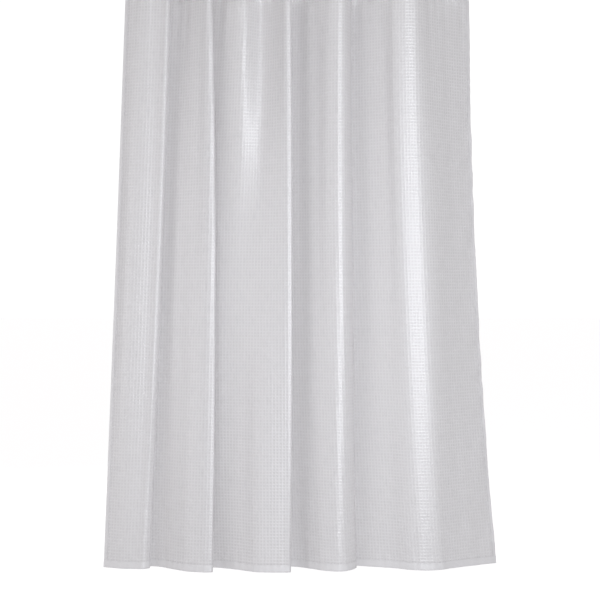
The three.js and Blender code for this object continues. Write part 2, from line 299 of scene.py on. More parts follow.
def cloth_grid(name, way, drop, back, loop_columns=False):
    """A mesh over a grid of places on the cloth, which keeps each one's place as it was cut."""
    places = on_cloth(way, drop, back)
    rows, columns = places.shape[:2]
    number = np.arange(rows * columns).reshape(rows, columns)
    if loop_columns:
        number = np.concatenate([number, number[:, :1]], axis=1)
    corners = (number[:-1, :-1], number[1:, :-1], number[1:, 1:], number[:-1, 1:])
    faces = np.stack([c.ravel() for c in corners], axis=-1)
    mesh = bpy.data.meshes.new(name)
    mesh.from_pydata(places.reshape(-1, 3).tolist(), [], faces.tolist())
    cut = np.stack(np.broadcast_arrays(way, drop, back), axis=-1).reshape(-1, 3)
    mesh.attributes.new("as_cut", "FLOAT_VECTOR", "POINT")
    mesh.attributes["as_cut"].data.foreach_set("vector", cut.astype(np.float32).ravel())
    mesh.polygons.foreach_set("use_smooth", [True] * len(mesh.polygons))
    piece = bpy.data.objects.new(name, mesh)
    bpy.context.scene.collection.objects.link(piece)
    return piece


def sew_on(piece, finish, *cad_nodes):
    """The piece is attached to the curtain's body with a mesh of its own, and the CAD pieces it
    stands for are hidden.
    """
    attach(piece, "curtain")
    if cad_nodes:
        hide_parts(*cad_nodes)
    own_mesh(piece)


def math_node(tree, operation, first, second=None, third=None):
    node = tree.nodes.new("ShaderNodeMath")
    node.operation = operation
    for socket, value in zip(node.inputs, (first, second, third)):
        if value is None:
            continue
        if isinstance(value, (int, float)):
            socket.default_value = value
        else:
            tree.links.new(value, socket)
    return node.outputs[0]


def ramp_between(tree, value, low, high, to_low=0.0, to_high=1.0):
    node = tree.nodes.new("ShaderNodeMapRange")
    node.interpolation_type = "SMOOTHSTEP"
    node.inputs["From Min"].default_value = low
    node.inputs["From Max"].default_value = high
    node.inputs["To Min"].default_value = to_low
    node.inputs["To Max"].default_value = to_high
    tree.links.new(value, node.inputs["Value"])
    return node.outputs["Result"]


def between_colours(tree, factor, low_colour, high_colour):
    node = tree.nodes.new("ShaderNodeMix")
    node.data_type = "RGBA"
    node.inputs["A"].default_value = low_colour
    node.inputs["B"].default_value = high_colour
    tree.links.new(factor, node.inputs["Factor"])
    return node.outputs["Result"]


def relief(tree, height, strength, distance):
    node = tree.nodes.new("ShaderNodeBump")
    node.inputs["Strength"].default_value = strength
    node.inputs["Distance"].default_value = distance
    tree.links.new(height, node.inputs["Height"])
    return node


# Threads crossing over and under, seen on every piece of the cloth, with slubs that are thick
# places in them, longer down the cloth than across it.
SLUBS_PER_METRE = (340, 26, 1)

thread_group = bpy.data.node_groups.new("crossing threads", "ShaderNodeTree")
for socket_name, way_in_or_out, socket_type in (
    ("As Cut", "INPUT", "NodeSocketVector"),
    ("Threads per Metre", "INPUT", "NodeSocketFloat"),
    ("Height", "OUTPUT", "NodeSocketFloat"),
    ("Slub", "OUTPUT", "NodeSocketFloat"),
):
    thread_group.interface.new_socket(
        socket_name, in_out=way_in_or_out, socket_type=socket_type
    )
thread_in = thread_group.nodes.new("NodeGroupInput")
thread_out = thread_group.nodes.new("NodeGroupOutput")
thread_split = thread_group.nodes.new("ShaderNodeSeparateXYZ")
thread_group.links.new(thread_in.outputs["As Cut"], thread_split.inputs[0])
turns = math_node(thread_group, "MULTIPLY", thread_in.outputs["Threads per Metre"], math.pi)
across = math_node(thread_group, "MULTIPLY", thread_split.outputs[0], turns)
down = math_node(thread_group, "MULTIPLY", thread_split.outputs[1], turns)
sine_across = math_node(thread_group, "SINE", across)
cosine_across = math_node(thread_group, "COSINE", across)
sine_down = math_node(thread_group, "SINE", down)
cosine_down = math_node(thread_group, "COSINE", down)
warp = math_node(thread_group, "MULTIPLY", sine_across, cosine_down)
weft = math_node(thread_group, "MULTIPLY", cosine_across, sine_down)
warp_height = math_node(thread_group, "ABSOLUTE", warp)
weft_height = math_node(thread_group, "ABSOLUTE", weft)
crossing = math_node(thread_group, "MAXIMUM", warp_height, weft_height)
thread_group.links.new(crossing, thread_out.inputs["Height"])
slub_stretch = thread_group.nodes.new("ShaderNodeMapping")
slub_stretch.inputs["Scale"].default_value = SLUBS_PER_METRE
thread_group.links.new(thread_in.outputs["As Cut"], slub_stretch.inputs["Vector"])
slub_noise = thread_group.nodes.new("ShaderNodeTexNoise")
slub_noise.inputs["Scale"].default_value = 1.0
slub_noise.inputs["Detail"].default_value = 3.0
thread_group.links.new(slub_stretch.outputs[0], slub_noise.inputs["Vector"])
thread_group.links.new(slub_noise.outputs["Fac"], thread_out.inputs["Slub"])

WAFFLE_CELL = 0.0107
RIDGE_FOOT = 0.16
RIDGE_TOP = 0.46
CROSSING_RISE = 0.25
# The cells' hollows are coloured darker than the raised ridges as painted shade, for the shade that
# falls in them.
RIDGE_COLOUR = (0.815, 0.804, 0.809, 1)
HOLLOW_SHADE_COLOUR = (0.760, 0.745, 0.750, 1)
SLUB_SHADE = (0.93, 0.93, 0.935, 1)
LIGHT_THROUGH = 0.15

waffle = bpy.data.materials.new("waffle cloth")
waffle.use_nodes = True
waffle_tree = waffle.node_tree
waffle_shader = waffle_tree.nodes["Principled BSDF"]
waffle_shader.inputs["Specular IOR Level"].default_value = 1.0
waffle_shader.inputs["IOR"].default_value = 1.75
as_cut = waffle_tree.nodes.new("ShaderNodeAttribute")
as_cut.attribute_name = "as_cut"
cut_split = waffle_tree.nodes.new("ShaderNodeSeparateXYZ")
waffle_tree.links.new(as_cut.outputs["Vector"], cut_split.inputs[0])


def ridge(place):
    """1 along the raised floats between two cells, and 0 at a cell's middle."""
    cell = math_node(waffle_tree, "FRACT", math_node(waffle_tree, "DIVIDE", place, WAFFLE_CELL))
    from_middle = math_node(waffle_tree, "ABSOLUTE", math_node(waffle_tree, "SUBTRACT", cell, 0.5))
    return ramp_between(waffle_tree, from_middle, RIDGE_FOOT, RIDGE_TOP)


ridge_down = ridge(cut_split.outputs[0])
ridge_across = ridge(cut_split.outputs[1])
ridges = math_node(waffle_tree, "MAXIMUM", ridge_down, ridge_across)
crossings = math_node(waffle_tree, "MULTIPLY", ridge_down, ridge_across)
raised = math_node(waffle_tree, "MULTIPLY_ADD", crossings, CROSSING_RISE, ridges)
threads = waffle_tree.nodes.new("ShaderNodeGroup")
threads.node_tree = thread_group
threads.inputs["Threads per Metre"].default_value = 1500
waffle_tree.links.new(as_cut.outputs["Vector"], threads.inputs["As Cut"])
# Painted shade: the colour goes darker in the cells' hollows and lighter on the ridges.
ridge_tint_with_hollow_shade = between_colours(waffle_tree, ridges, HOLLOW_SHADE_COLOUR, RIDGE_COLOUR)
slub_tint = waffle_tree.nodes.new("ShaderNodeMix")
slub_tint.data_type = "RGBA"
slub_tint.blend_type = "MULTIPLY"
slub_tint.inputs["B"].default_value = SLUB_SHADE
slubs = ramp_between(waffle_tree, threads.outputs["Slub"], 0.45, 0.75)
waffle_tree.links.new(slubs, slub_tint.inputs["Factor"])
waffle_tree.links.new(ridge_tint_with_hollow_shade, slub_tint.inputs["A"])
waffle_tree.links.new(slub_tint.outputs["Result"], waffle_shader.inputs["Base Color"])
waffle_gloss = ramp_between(waffle_tree, ridges, 0.0, 1.0, 0.46, 0.33)
waffle_tree.links.new(waffle_gloss, waffle_shader.inputs["Roughness"])
thread_bump = relief(waffle_tree, threads.outputs["Height"], strength=0.2, distance=0.00012)
waffle_bump = relief(waffle_tree, raised, strength=0.6, distance=0.0008)
waffle_tree.links.new(thread_bump.outputs["Normal"], waffle_bump.inputs["Normal"])
waffle_tree.links.new(waffle_bump.outputs["Normal"], waffle_shader.inputs["Normal"])
glow = waffle_tree.nodes.new("ShaderNodeBsdfTranslucent")
waffle_tree.links.new(slub_tint.outputs["Result"], glow.inputs["Color"])
waffle_tree.links.new(waffle_bump.outputs["Normal"], glow.inputs["Normal"])
thin_cloth = waffle_tree.nodes.new("ShaderNodeMixShader")
thin_cloth.inputs[0].default_value = LIGHT_THROUGH
waffle_tree.links.new(waffle_shader.outputs[0], thin_cloth.inputs[1])
waffle_tree.links.new(glow.outputs[0], thin_cloth.inputs[2])
waffle_tree.links.new(thin_cloth.outputs[0], waffle_tree.nodes["Material Output"].inputs["Surface"])

# The panel's own edges lie inside the header, the hem and the side hems.
PANEL_COLUMNS = 620
PANEL_ROWS = 120
PANEL_TOP = 0.030
PANEL_ABOVE_HEM_FOLD = 0.008
PANEL_FROM_SIDE = 0.0014

panel_drops = np.linspace(PANEL_TOP, CLOTH_DROP - PANEL_ABOVE_HEM_FOLD, PANEL_ROWS)
panel_ways = np.linspace(PANEL_FROM_SIDE, CLOTH_WIDTH - PANEL_FROM_SIDE, PANEL_COLUMNS)
panel_way, panel_drop = np.meshgrid(panel_ways, panel_drops)
panel = cloth_grid("waffle_panel", panel_way, panel_drop, 0.0)
panel.data.materials.append(waffle)
sew_on(panel, "waffle_cloth", "curtain_panel")

# ---------------------------------------------------------------------------------------------
# The header, the hem and the side hems: the cloth's edges, in plain weave, each folded over both
# faces of the panel and stitched through. The header is stiffened and carries the eyelets.
# ---------------------------------------------------------------------------------------------
CLOTH_THICKNESS = 0.0009
FOLDED_LAYER = 0.0008
GAP = 0.0003
HEM_ROOM = 0.0014
EDGE_FOLD = 0.0012
HEM_FOLD = 0.0016
ROUND_POINTS = 9
# The hollow of a fold as a share of its round, and where an edge closes onto the panel.
HOLLOW_SHARE = 0.6
CLOSING_STEPS = 4
CLOSES_FROM = 0.3
CLOSED_BY = 0.9
SHARP_ANGLE = math.radians(50)
EDGE_COLUMNS = 421
SIDE_HEM_ROWS = 141
PUNCHED_RADIUS = 0.0067
PUNCH_REACH = 0.01
PUNCH_SIDES = 32
fold_room = CLOTH_THICKNESS / 2 + GAP

plain = bpy.data.materials.new("plain cloth")
plain.use_nodes = True
plain_tree = plain.node_tree
plain_shader = plain_tree.nodes["Principled BSDF"]
plain_shader.inputs["Specular IOR Level"].default_value = 1.0
plain_shader.inputs["IOR"].default_value = 1.75
plain_cut = plain_tree.nodes.new("ShaderNodeAttribute")
plain_cut.attribute_name = "as_cut"
plain_threads = plain_tree.nodes.new("ShaderNodeGroup")
plain_threads.node_tree = thread_group
plain_threads.inputs["Threads per Metre"].default_value = 1100
plain_tree.links.new(plain_cut.outputs["Vector"], plain_threads.inputs["As Cut"])
plain_tint = between_colours(
    plain_tree,
    plain_threads.outputs["Slub"],
    (0.745, 0.733, 0.738, 1),
    (0.785, 0.775, 0.780, 1),
)
plain_tree.links.new(plain_tint, plain_shader.inputs["Base Color"])
plain_gloss = ramp_between(plain_tree, plain_threads.outputs["Height"], 0, 1, 0.46, 0.36)
plain_tree.links.new(plain_gloss, plain_shader.inputs["Roughness"])
plain_bump = relief(plain_tree, plain_threads.outputs["Height"], strength=0.5, distance=0.00015)
plain_tree.links.new(plain_bump.outputs["Normal"], plain_shader.inputs["Normal"])


def close_ends(piece, section_size):
    """Caps the two open ends of a folded strip with a face each."""
    mesh = piece.data
    count = len(mesh.vertices)
    verts = [v.co[:] for v in mesh.vertices]
    faces = [p.vertices[:] for p in mesh.polygons]
    faces.append(tuple(range(section_size)))
    faces.append(tuple(reversed(range(count - section_size, count))))
    cut = np.zeros(count * 3, np.float32)
    mesh.attributes["as_cut"].data.foreach_get("vector", cut)
    closed = bpy.data.meshes.new(mesh.name)
    closed.from_pydata(verts, [], faces)
    closed.attributes.new("as_cut", "FLOAT_VECTOR", "POINT")
    closed.attributes["as_cut"].data.foreach_set("vector", cut)
    smooth = [True] * (len(faces) - 2) + [False] * 2
    closed.polygons.foreach_set("use_smooth", smooth)
    closed.set_sharp_from_angle(angle=SHARP_ANGLE)
    name = mesh.name
    piece.data = closed
    bpy.data.meshes.remove(mesh)
    closed.name = name


def work_in_modifiers(piece):
    """Gives the piece the mesh that its modifiers make, and takes them off."""
    bpy.context.view_layer.update()
    evaluated = piece.evaluated_get(bpy.context.evaluated_depsgraph_get())
    made_mesh = bpy.data.meshes.new_from_object(evaluated)
    piece.modifiers.clear()
    piece.data = made_mesh


def folded_edge(depth, room, fold):
    """A folded edge's section as (back, in from the edge) points, with a round outer fold."""
    outer = room + FOLDED_LAYER
    closing = room - fold_room
    half_turn = np.linspace(0, math.pi, ROUND_POINTS)
    round_out = [(outer * math.cos(a), fold - fold * math.sin(a)) for a in half_turn]
    inner_fold = fold * HOLLOW_SHARE
    round_in = [
        (room * math.cos(a), FOLDED_LAYER + inner_fold - inner_fold * math.sin(a))
        for a in half_turn[::-1]
    ]
    rows = [
        (
            depth * k / CLOSING_STEPS,
            closing * smooth_step(k / CLOSING_STEPS, CLOSES_FROM, CLOSED_BY),
        )
        for k in range(CLOSING_STEPS, 0, -1)
    ]
    right = [(outer - taken, r) for r, taken in rows]
    left = [(taken - outer, r) for r, taken in reversed(rows)]
    left_in = [(taken - room, r) for r, taken in rows]
    right_in = [(room - taken, r) for r, taken in reversed(rows)]
    return np.array(right + round_out + left + left_in + round_in + right_in)


across_ways = np.linspace(0, CLOTH_WIDTH, EDGE_COLUMNS)[:, None]

header_section = folded_edge(HEADER_DEPTH, fold_room, EDGE_FOLD)
header = cloth_grid(
    "header_fold",
    across_ways,
    header_section[None, :, 1],
    header_section[None, :, 0],
    True,
)
close_ends(header, len(header_section))
eyelet_low, eyelet_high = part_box("grommet_01_front")
eyelet_z = (eyelet_low.z + eyelet_high.z) / 2
punch_walls = [
    (k, (k + 1) % PUNCH_SIDES, PUNCH_SIDES + (k + 1) % PUNCH_SIDES, PUNCH_SIDES + k)
    for k in range(PUNCH_SIDES)
]
punch_ends = [tuple(reversed(range(PUNCH_SIDES))), tuple(range(PUNCH_SIDES, 2 * PUNCH_SIDES))]
for x in ring_x:
    around = [2 * math.pi * k / PUNCH_SIDES for k in range(PUNCH_SIDES)]
    punch_points = [
        (x + PUNCHED_RADIUS * math.cos(a), y, eyelet_z + PUNCHED_RADIUS * math.sin(a))
        for y in (-PUNCH_REACH, PUNCH_REACH)
        for a in around
    ]
    punch_mesh = bpy.data.meshes.new("punch")
    punch_mesh.from_pydata(punch_points, [], punch_walls + punch_ends)
    punch = bpy.data.objects.new("punch", punch_mesh)
    bpy.context.scene.collection.objects.link(punch)
    cutter = header.modifiers.new("hole", "BOOLEAN")
    cutter.operation = "DIFFERENCE"
    cutter.solver = "EXACT"
    cutter.object = punch
    work_in_modifiers(header)
    bpy.data.objects.remove(punch)
header.data.name = "header_fold"
header.data.set_sharp_from_angle(angle=SHARP_ANGLE)
header.data.materials.clear()
header.data.materials.append(plain)
sew_on(header, "plain_cloth", "header_band")

hem_section = folded_edge(HEM_DEPTH, HEM_ROOM, HEM_FOLD)
hem = cloth_grid(
    "hem_pocket",
    across_ways,
    CLOTH_DROP - hem_section[None, ::-1, 1],
    hem_section[None, ::-1, 0],
    True,
)
close_ends(hem, len(hem_section))
hem.data.materials.append(plain)
sew_on(hem, "plain_cloth", "bottom_hem")

side_section = folded_edge(SIDE_HEM_WIDTH, fold_room, EDGE_FOLD)
side_ends = (HEADER_DEPTH + GAP, CLOTH_DROP - HEM_DEPTH - GAP)
side_drops = np.linspace(*side_ends, SIDE_HEM_ROWS)[:, None]
for side, edge, inwards in (("left", 0.0, 1), ("right", CLOTH_WIDTH, -1)):
    section = side_section if inwards == -1 else side_section[::-1]
    ways = edge + inwards * section[None, :, 1]
    side_hem = cloth_grid(f"{side}_side_hem_fold", ways, side_drops, section[None, :, 0], True)
    close_ends(side_hem, len(side_section))
    side_hem.data.materials.append(plain)
    sew_on(side_hem, "plain_cloth", f"{side}_side_hem")

# ---------------------------------------------------------------------------------------------
# The weight: a thin leaded cord, braided over, that lies loose in the hem's fold from side to
# side and holds the pleats straight.
# ---------------------------------------------------------------------------------------------
WEIGHT_RADIUS = 0.0011
WEIGHT_FROM_SIDE = 0.004
WEIGHT_SIDES = 10

braid = bpy.data.materials.new("braided cover")
braid.use_nodes = True
braid_tree = braid.node_tree
braid_shader = braid_tree.nodes["Principled BSDF"]
braid_shader.inputs["Roughness"].default_value = 0.7
braid_cut = braid_tree.nodes.new("ShaderNodeAttribute")
braid_cut.attribute_name = "as_cut"
braid_turn = braid_tree.nodes.new("ShaderNodeMapping")
braid_turn.inputs["Rotation"].default_value = (0, 0, math.radians(45))
braid_tree.links.new(braid_cut.outputs["Vector"], braid_turn.inputs["Vector"])
braid_threads = braid_tree.nodes.new("ShaderNodeGroup")
braid_threads.node_tree = thread_group
braid_threads.inputs["Threads per Metre"].default_value = 1800
braid_tree.links.new(braid_turn.outputs["Vector"], braid_threads.inputs["As Cut"])
# Painted shade: the braid is coloured darker where its threads lie low, between the crossings.
braid_tint_with_painted_shade = between_colours(
    braid_tree, braid_threads.outputs["Height"], (0.30, 0.30, 0.31, 1), (0.52, 0.52, 0.53, 1)
)
braid_tree.links.new(braid_tint_with_painted_shade, braid_shader.inputs["Base Color"])
braid_bump = relief(braid_tree, braid_threads.outputs["Height"], strength=0.6, distance=0.0002)
braid_tree.links.new(braid_bump.outputs["Normal"], braid_shader.inputs["Normal"])

weight_ends = (WEIGHT_FROM_SIDE, CLOTH_WIDTH - WEIGHT_FROM_SIDE)
weight_ways = np.linspace(*weight_ends, EDGE_COLUMNS)[:, None]
weight_turns = np.linspace(0, 2 * math.pi, WEIGHT_SIDES, endpoint=False)[None, :]
weight_middle = CLOTH_DROP - FOLDED_LAYER - GAP - WEIGHT_RADIUS
weight = cloth_grid(
    "weight_cord",
    weight_ways,
    weight_middle - WEIGHT_RADIUS * np.sin(weight_turns),
    WEIGHT_RADIUS * np.cos(weight_turns),
    True,
)
close_ends(weight, WEIGHT_SIDES)
weight.data.materials.append(braid)
sew_on(weight, "hem_weight", "hem_weight_cord")

# ---------------------------------------------------------------------------------------------
# The stitching: one row of white polyester lockstitch along each folded edge, the same on the
# front and the back, three and a half millimetres to a stitch.
# ---------------------------------------------------------------------------------------------
STITCH_PITCH = 0.0035
STITCH_LENGTH = 0.0027
THREAD_RADIUS = 0.00028
STITCH_SIDES = 6
STITCH_RINGS = 4
# How far each row lies from its fold or from its turned-in edge, and from the cloth's corners.
HEADER_SEAM_IN = 0.0035
HEM_SEAM_IN = 0.003
SIDE_SEAM_IN = 0.0025
SEAM_FROM_CORNER = 0.004
LONG_ROW_POINTS = 700
SIDE_ROW_POINTS = 400

thread = bpy.data.materials.new("sewing thread")
thread.use_nodes = True
thread_tree = thread.node_tree
thread_shader = thread_tree.nodes["Principled BSDF"]
thread_place = thread_tree.nodes.new("ShaderNodeTexCoord")
thread_noise = thread_tree.nodes.new("ShaderNodeTexNoise")
thread_noise.inputs["Scale"].default_value = 900
thread_tree.links.new(thread_place.outputs["Object"], thread_noise.inputs["Vector"])
thread_tint = between_colours(
    thread_tree, thread_noise.outputs["Fac"], (0.68, 0.67, 0.68, 1), (0.84, 0.83, 0.84, 1)
)
thread_tree.links.new(thread_tint, thread_shader.inputs["Base Color"])
thread_gloss = ramp_between(thread_tree, thread_noise.outputs["Fac"], 0.3, 0.7, 0.35, 0.55)
thread_tree.links.new(thread_gloss, thread_shader.inputs["Roughness"])

stitch_tree = bpy.data.node_groups.new("row of stitches", "GeometryNodeTree")
stitch_sockets = {}
for socket_name, socket_type in (
    ("Seam", "NodeSocketGeometry"),
    ("Pitch", "NodeSocketFloat"),
    ("Stitch Length", "NodeSocketFloat"),
    ("Thread Radius", "NodeSocketFloat"),
):
    made = stitch_tree.interface.new_socket(socket_name, in_out="INPUT", socket_type=socket_type)
    stitch_sockets[socket_name] = made.identifier
stitch_tree.interface.new_socket("Stitches", in_out="OUTPUT", socket_type="NodeSocketGeometry")
stitch_nodes, stitch_links = stitch_tree.nodes, stitch_tree.links
seam_in = stitch_nodes.new("NodeGroupInput")
seam_out = stitch_nodes.new("NodeGroupOutput")
as_curve = stitch_nodes.new("GeometryNodeMeshToCurve")
evenly = stitch_nodes.new("GeometryNodeResampleCurve")
evenly.mode = "LENGTH"
one_stitch = stitch_nodes.new("GeometryNodeMeshUVSphere")
one_stitch.inputs["Segments"].default_value = STITCH_SIDES
one_stitch.inputs["Rings"].default_value = STITCH_RINGS
one_stitch.inputs["Radius"].default_value = 1.0
stretch = stitch_nodes.new("ShaderNodeCombineXYZ")
half_length = math_node(stitch_tree, "MULTIPLY", seam_in.outputs["Stitch Length"], 0.5)
along_seam = stitch_nodes.new("GeometryNodeInputTangent")
facing = stitch_nodes.new("GeometryNodeInputNamedAttribute")
facing.data_type = "FLOAT_VECTOR"
facing.inputs["Name"].default_value = "facing"
lay_along = stitch_nodes.new("FunctionNodeAlignRotationToVector")
lay_along.axis = "X"
lay_flat = stitch_nodes.new("FunctionNodeAlignRotationToVector")
lay_flat.axis = "Z"
lay_flat.pivot_axis = "X"
sew = stitch_nodes.new("GeometryNodeInstanceOnPoints")
realize = stitch_nodes.new("GeometryNodeRealizeInstances")
dress = stitch_nodes.new("GeometryNodeSetMaterial")
dress.inputs["Material"].default_value = thread
stitch_links.new(seam_in.outputs["Seam"], as_curve.inputs[0])
stitch_links.new(as_curve.outputs[0], evenly.inputs["Curve"])
stitch_links.new(seam_in.outputs["Pitch"], evenly.inputs["Length"])
stitch_links.new(half_length, stretch.inputs[0])
stitch_links.new(seam_in.outputs["Thread Radius"], stretch.inputs[1])
stitch_links.new(seam_in.outputs["Thread Radius"], stretch.inputs[2])
stitch_links.new(along_seam.outputs[0], lay_along.inputs["Vector"])
stitch_links.new(lay_along.outputs[0], lay_flat.inputs["Rotation"])
stitch_links.new(facing.outputs["Attribute"], lay_flat.inputs["Vector"])
stitch_links.new(evenly.outputs[0], sew.inputs["Points"])
stitch_links.new(one_stitch.outputs["Mesh"], sew.inputs["Instance"])
stitch_links.new(lay_flat.outputs[0], sew.inputs["Rotation"])
stitch_links.new(stretch.outputs[0], sew.inputs["Scale"])
stitch_links.new(sew.outputs[0], realize.inputs[0])
stitch_links.new(realize.outputs[0], dress.inputs["Geometry"])
stitch_links.new(dress.outputs[0], seam_out.inputs[0])


def stitch_rows(name, rows):
    """Rows of stitches, each given as the ways, the drops and how far off the middle it lies."""
    points, edges, facings = [], [], []
    for way, drop, back in rows:
        way, drop = np.broadcast_arrays(way, drop)
        start = len(points)
        row = on_cloth(way, drop, back)
        outwards = to_the_back(way, drop) * np.sign(back)
        points.extend(row.tolist())
        facings.extend(outwards.tolist())
        edges.extend((start + k, start + k + 1) for k in range(len(row) - 1))
    seam_mesh = bpy.data.meshes.new(name)
    seam_mesh.from_pydata(points, edges, [])
    seam_mesh.attributes.new("facing", "FLOAT_VECTOR", "POINT")
    flat = np.array(facings, np.float32).ravel()
    seam_mesh.attributes["facing"].data.foreach_set("vector", flat)
    seam = bpy.data.objects.new(name, seam_mesh)
    bpy.context.scene.collection.objects.link(seam)
    sewing = seam.modifiers.new("sewing", "NODES")
    sewing.node_group = stitch_tree
    sewing[stitch_sockets["Pitch"]] = STITCH_PITCH
    sewing[stitch_sockets["Stitch Length"]] = STITCH_LENGTH
    sewing[stitch_sockets["Thread Radius"]] = THREAD_RADIUS
    work_in_modifiers(seam)
    seam.data.name = name
    seam.data.polygons.foreach_set("use_smooth", [True] * len(seam.data.polygons))
    return seam


row_ends = (SEAM_FROM_CORNER, CLOTH_WIDTH - SEAM_FROM_CORNER)
row_ways = np.linspace(*row_ends, LONG_ROW_POINTS)
side_row_ends = (HEADER_DEPTH + SEAM_FROM_CORNER, CLOTH_DROP - HEM_DEPTH - SEAM_FROM_CORNER)
row_drops = np.linspace(*side_row_ends, SIDE_ROW_POINTS)
face = fold_room + FOLDED_LAYER
header_stitches = stitch_rows(
    "header_stitches",
    [
        (row_ways, drop, side * face)
        for drop in (HEADER_DEPTH - HEADER_SEAM_IN, HEADER_SEAM_IN)
        for side in (-1, 1)
    ],
)
hem_stitches = stitch_rows(
    "hem_stitches",
    [(row_ways, CLOTH_DROP - HEM_DEPTH + HEM_SEAM_IN, side * face) for side in (-1, 1)],
)
side_stitches = stitch_rows(
    "side_stitches",
    [
        (way, row_drops, side * face)
        for way in (SIDE_HEM_WIDTH - SIDE_SEAM_IN, CLOTH_WIDTH - SIDE_HEM_WIDTH + SIDE_SEAM_IN)
        for side in (-1, 1)
    ],
)
for stitches in (header_stitches, hem_stitches, side_stitches):
    sew_on(stitches, "plain_cloth")

# ---------------------------------------------------------------------------------------------
# The eyelets: nickel-plated brass in two pieces. The front piece's barrel goes through the
# header and is rolled over the washer at the back.
# ---------------------------------------------------------------------------------------------
nickel = bpy.data.materials.new("nickel plate")
nickel.use_nodes = True
nickel_tree = nickel.node_tree
nickel_shader = nickel_tree.nodes["Principled BSDF"]
nickel_shader.inputs["Metallic"].default_value = 1.0
nickel_place = nickel_tree.nodes.new("ShaderNodeTexCoord")
smudge = nickel_tree.nodes.new("ShaderNodeTexNoise")
smudge.inputs["Scale"].default_value = 160
smudge.inputs["Detail"].default_value = 4
nickel_tree.links.new(nickel_place.outputs["Object"], smudge.inputs["Vector"])
nickel_tint = between_colours(
    nickel_tree, smudge.outputs["Fac"], (0.62, 0.62, 0.63, 1), (0.78, 0.77, 0.76, 1)
)
nickel_tree.links.new(nickel_tint, nickel_shader.inputs["Base Color"])
nickel_gloss = ramp_between(nickel_tree, smudge.outputs["Fac"], 0.3, 0.7, 0.16, 0.34)
nickel_tree.links.new(nickel_gloss, nickel_shader.inputs["Roughness"])
press_marks = nickel_tree.nodes.new("ShaderNodeTexNoise")
press_marks.inputs["Scale"].default_value = 1400
nickel_tree.links.new(nickel_place.outputs["Object"], press_marks.inputs["Vector"])
press_bump = relief(nickel_tree, press_marks.outputs["Fac"], strength=0.15, distance=0.00005)
nickel_tree.links.new(press_bump.outputs["Normal"], nickel_shader.inputs["Normal"])

# Both profiles as (radius, back) in millimetres, each closed on itself.
FRONT_PROFILE = [
    (5.5, -2.2), (5.7, -2.6), (6.2, -2.85), (7.2, -2.95), (8.4, -2.9), (9.4, -2.65), (9.9, -2.3),
    (10.0, -2.05), (9.9, -1.9), (9.6, -1.85), (6.6, -1.85), (6.4, -1.7), (6.4, 3.0), (6.5, 3.2),
    (7.1, 3.25), (7.5, 3.3), (7.6, 3.5), (7.4, 3.68), (6.8, 3.75), (6.0, 3.7), (5.6, 3.5), (5.5, 3.1),
]
WASHER_PROFILE = [
    (6.7, 1.95), (6.8, 1.85), (9.7, 1.85), (9.95, 1.95), (10.0, 2.2), (9.8, 2.6), (9.2, 2.85),
    (8.2, 2.95), (7.0, 2.93), (6.75, 2.8), (6.7, 2.6),
]
TURNED_SIDES = 64


def turned_eyelet(name, profile, middle):
    """A profile turned about the line through the eyelet's hole, from front to back."""
    around = np.linspace(0, 2 * math.pi, TURNED_SIDES, endpoint=False)
    section = np.array(profile) / 1000
    x = middle.x + section[None, :, 0] * np.cos(around)[:, None]
    y = np.broadcast_to(section[None, :, 1], x.shape)
    z = middle.z + section[None, :, 0] * np.sin(around)[:, None]
    size = len(profile)
    faces = [
        (
            a * size + k,
            ((a + 1) % TURNED_SIDES) * size + k,
            ((a + 1) % TURNED_SIDES) * size + (k + 1) % size,
            a * size + (k + 1) % size,
        )
        for a in range(TURNED_SIDES)
        for k in range(size)
    ]
    mesh = bpy.data.meshes.new(name)
    mesh.from_pydata(np.stack([x, y, z], axis=-1).reshape(-1, 3).tolist(), [], faces)
    mesh.polygons.foreach_set("use_smooth", [True] * len(faces))
    mesh.materials.append(nickel)
    piece = bpy.data.objects.new(name, mesh)
    bpy.context.scene.collection.objects.link(piece)
    return piece


for number in ring_numbers:
    low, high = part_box(f"grommet_{number}_front")
    middle = Vector(((low.x + high.x) / 2, 0, (low.z + high.z) / 2))
    body = "curtain" if number == "01" else f"grommet_{number}"
    for side, profile in (("front", FRONT_PROFILE), ("back", WASHER_PROFILE)):
        eyelet = turned_eyelet(f"eyelet_{number}_{side}", profile, middle)
        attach(eyelet, body)
        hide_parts(f"grommet_{number}_{side}")

# ---------------------------------------------------------------------------------------------
# The rings: one round wire of white moulded plastic each, sprung open to go over the rod and
# through an eyelet, and closed at the front by a snap clasp of two short sleeves.
# ---------------------------------------------------------------------------------------------
WIRE_RADIUS = 0.002
RING_INNER_RADIUS = 0.023
SLEEVE_RADIUS = 0.0029
SLEEVE_ANGLE = math.radians(10)
# Where each sleeve's middle is and half its length, as shares of the sleeve angle.
SLEEVE_MIDDLE = 0.52
SLEEVE_HALF = 0.48
# How thick a sleeve is at its ends and where its rounding is done, as shares.
SLEEVE_END = 0.74
SLEEVE_SHOULDER = 0.96
SLEEVE_ROUNDED_BY = 0.12
SECTION_SIDES = 16
HOOP_POINTS = 96
SLEEVE_POINTS = 13

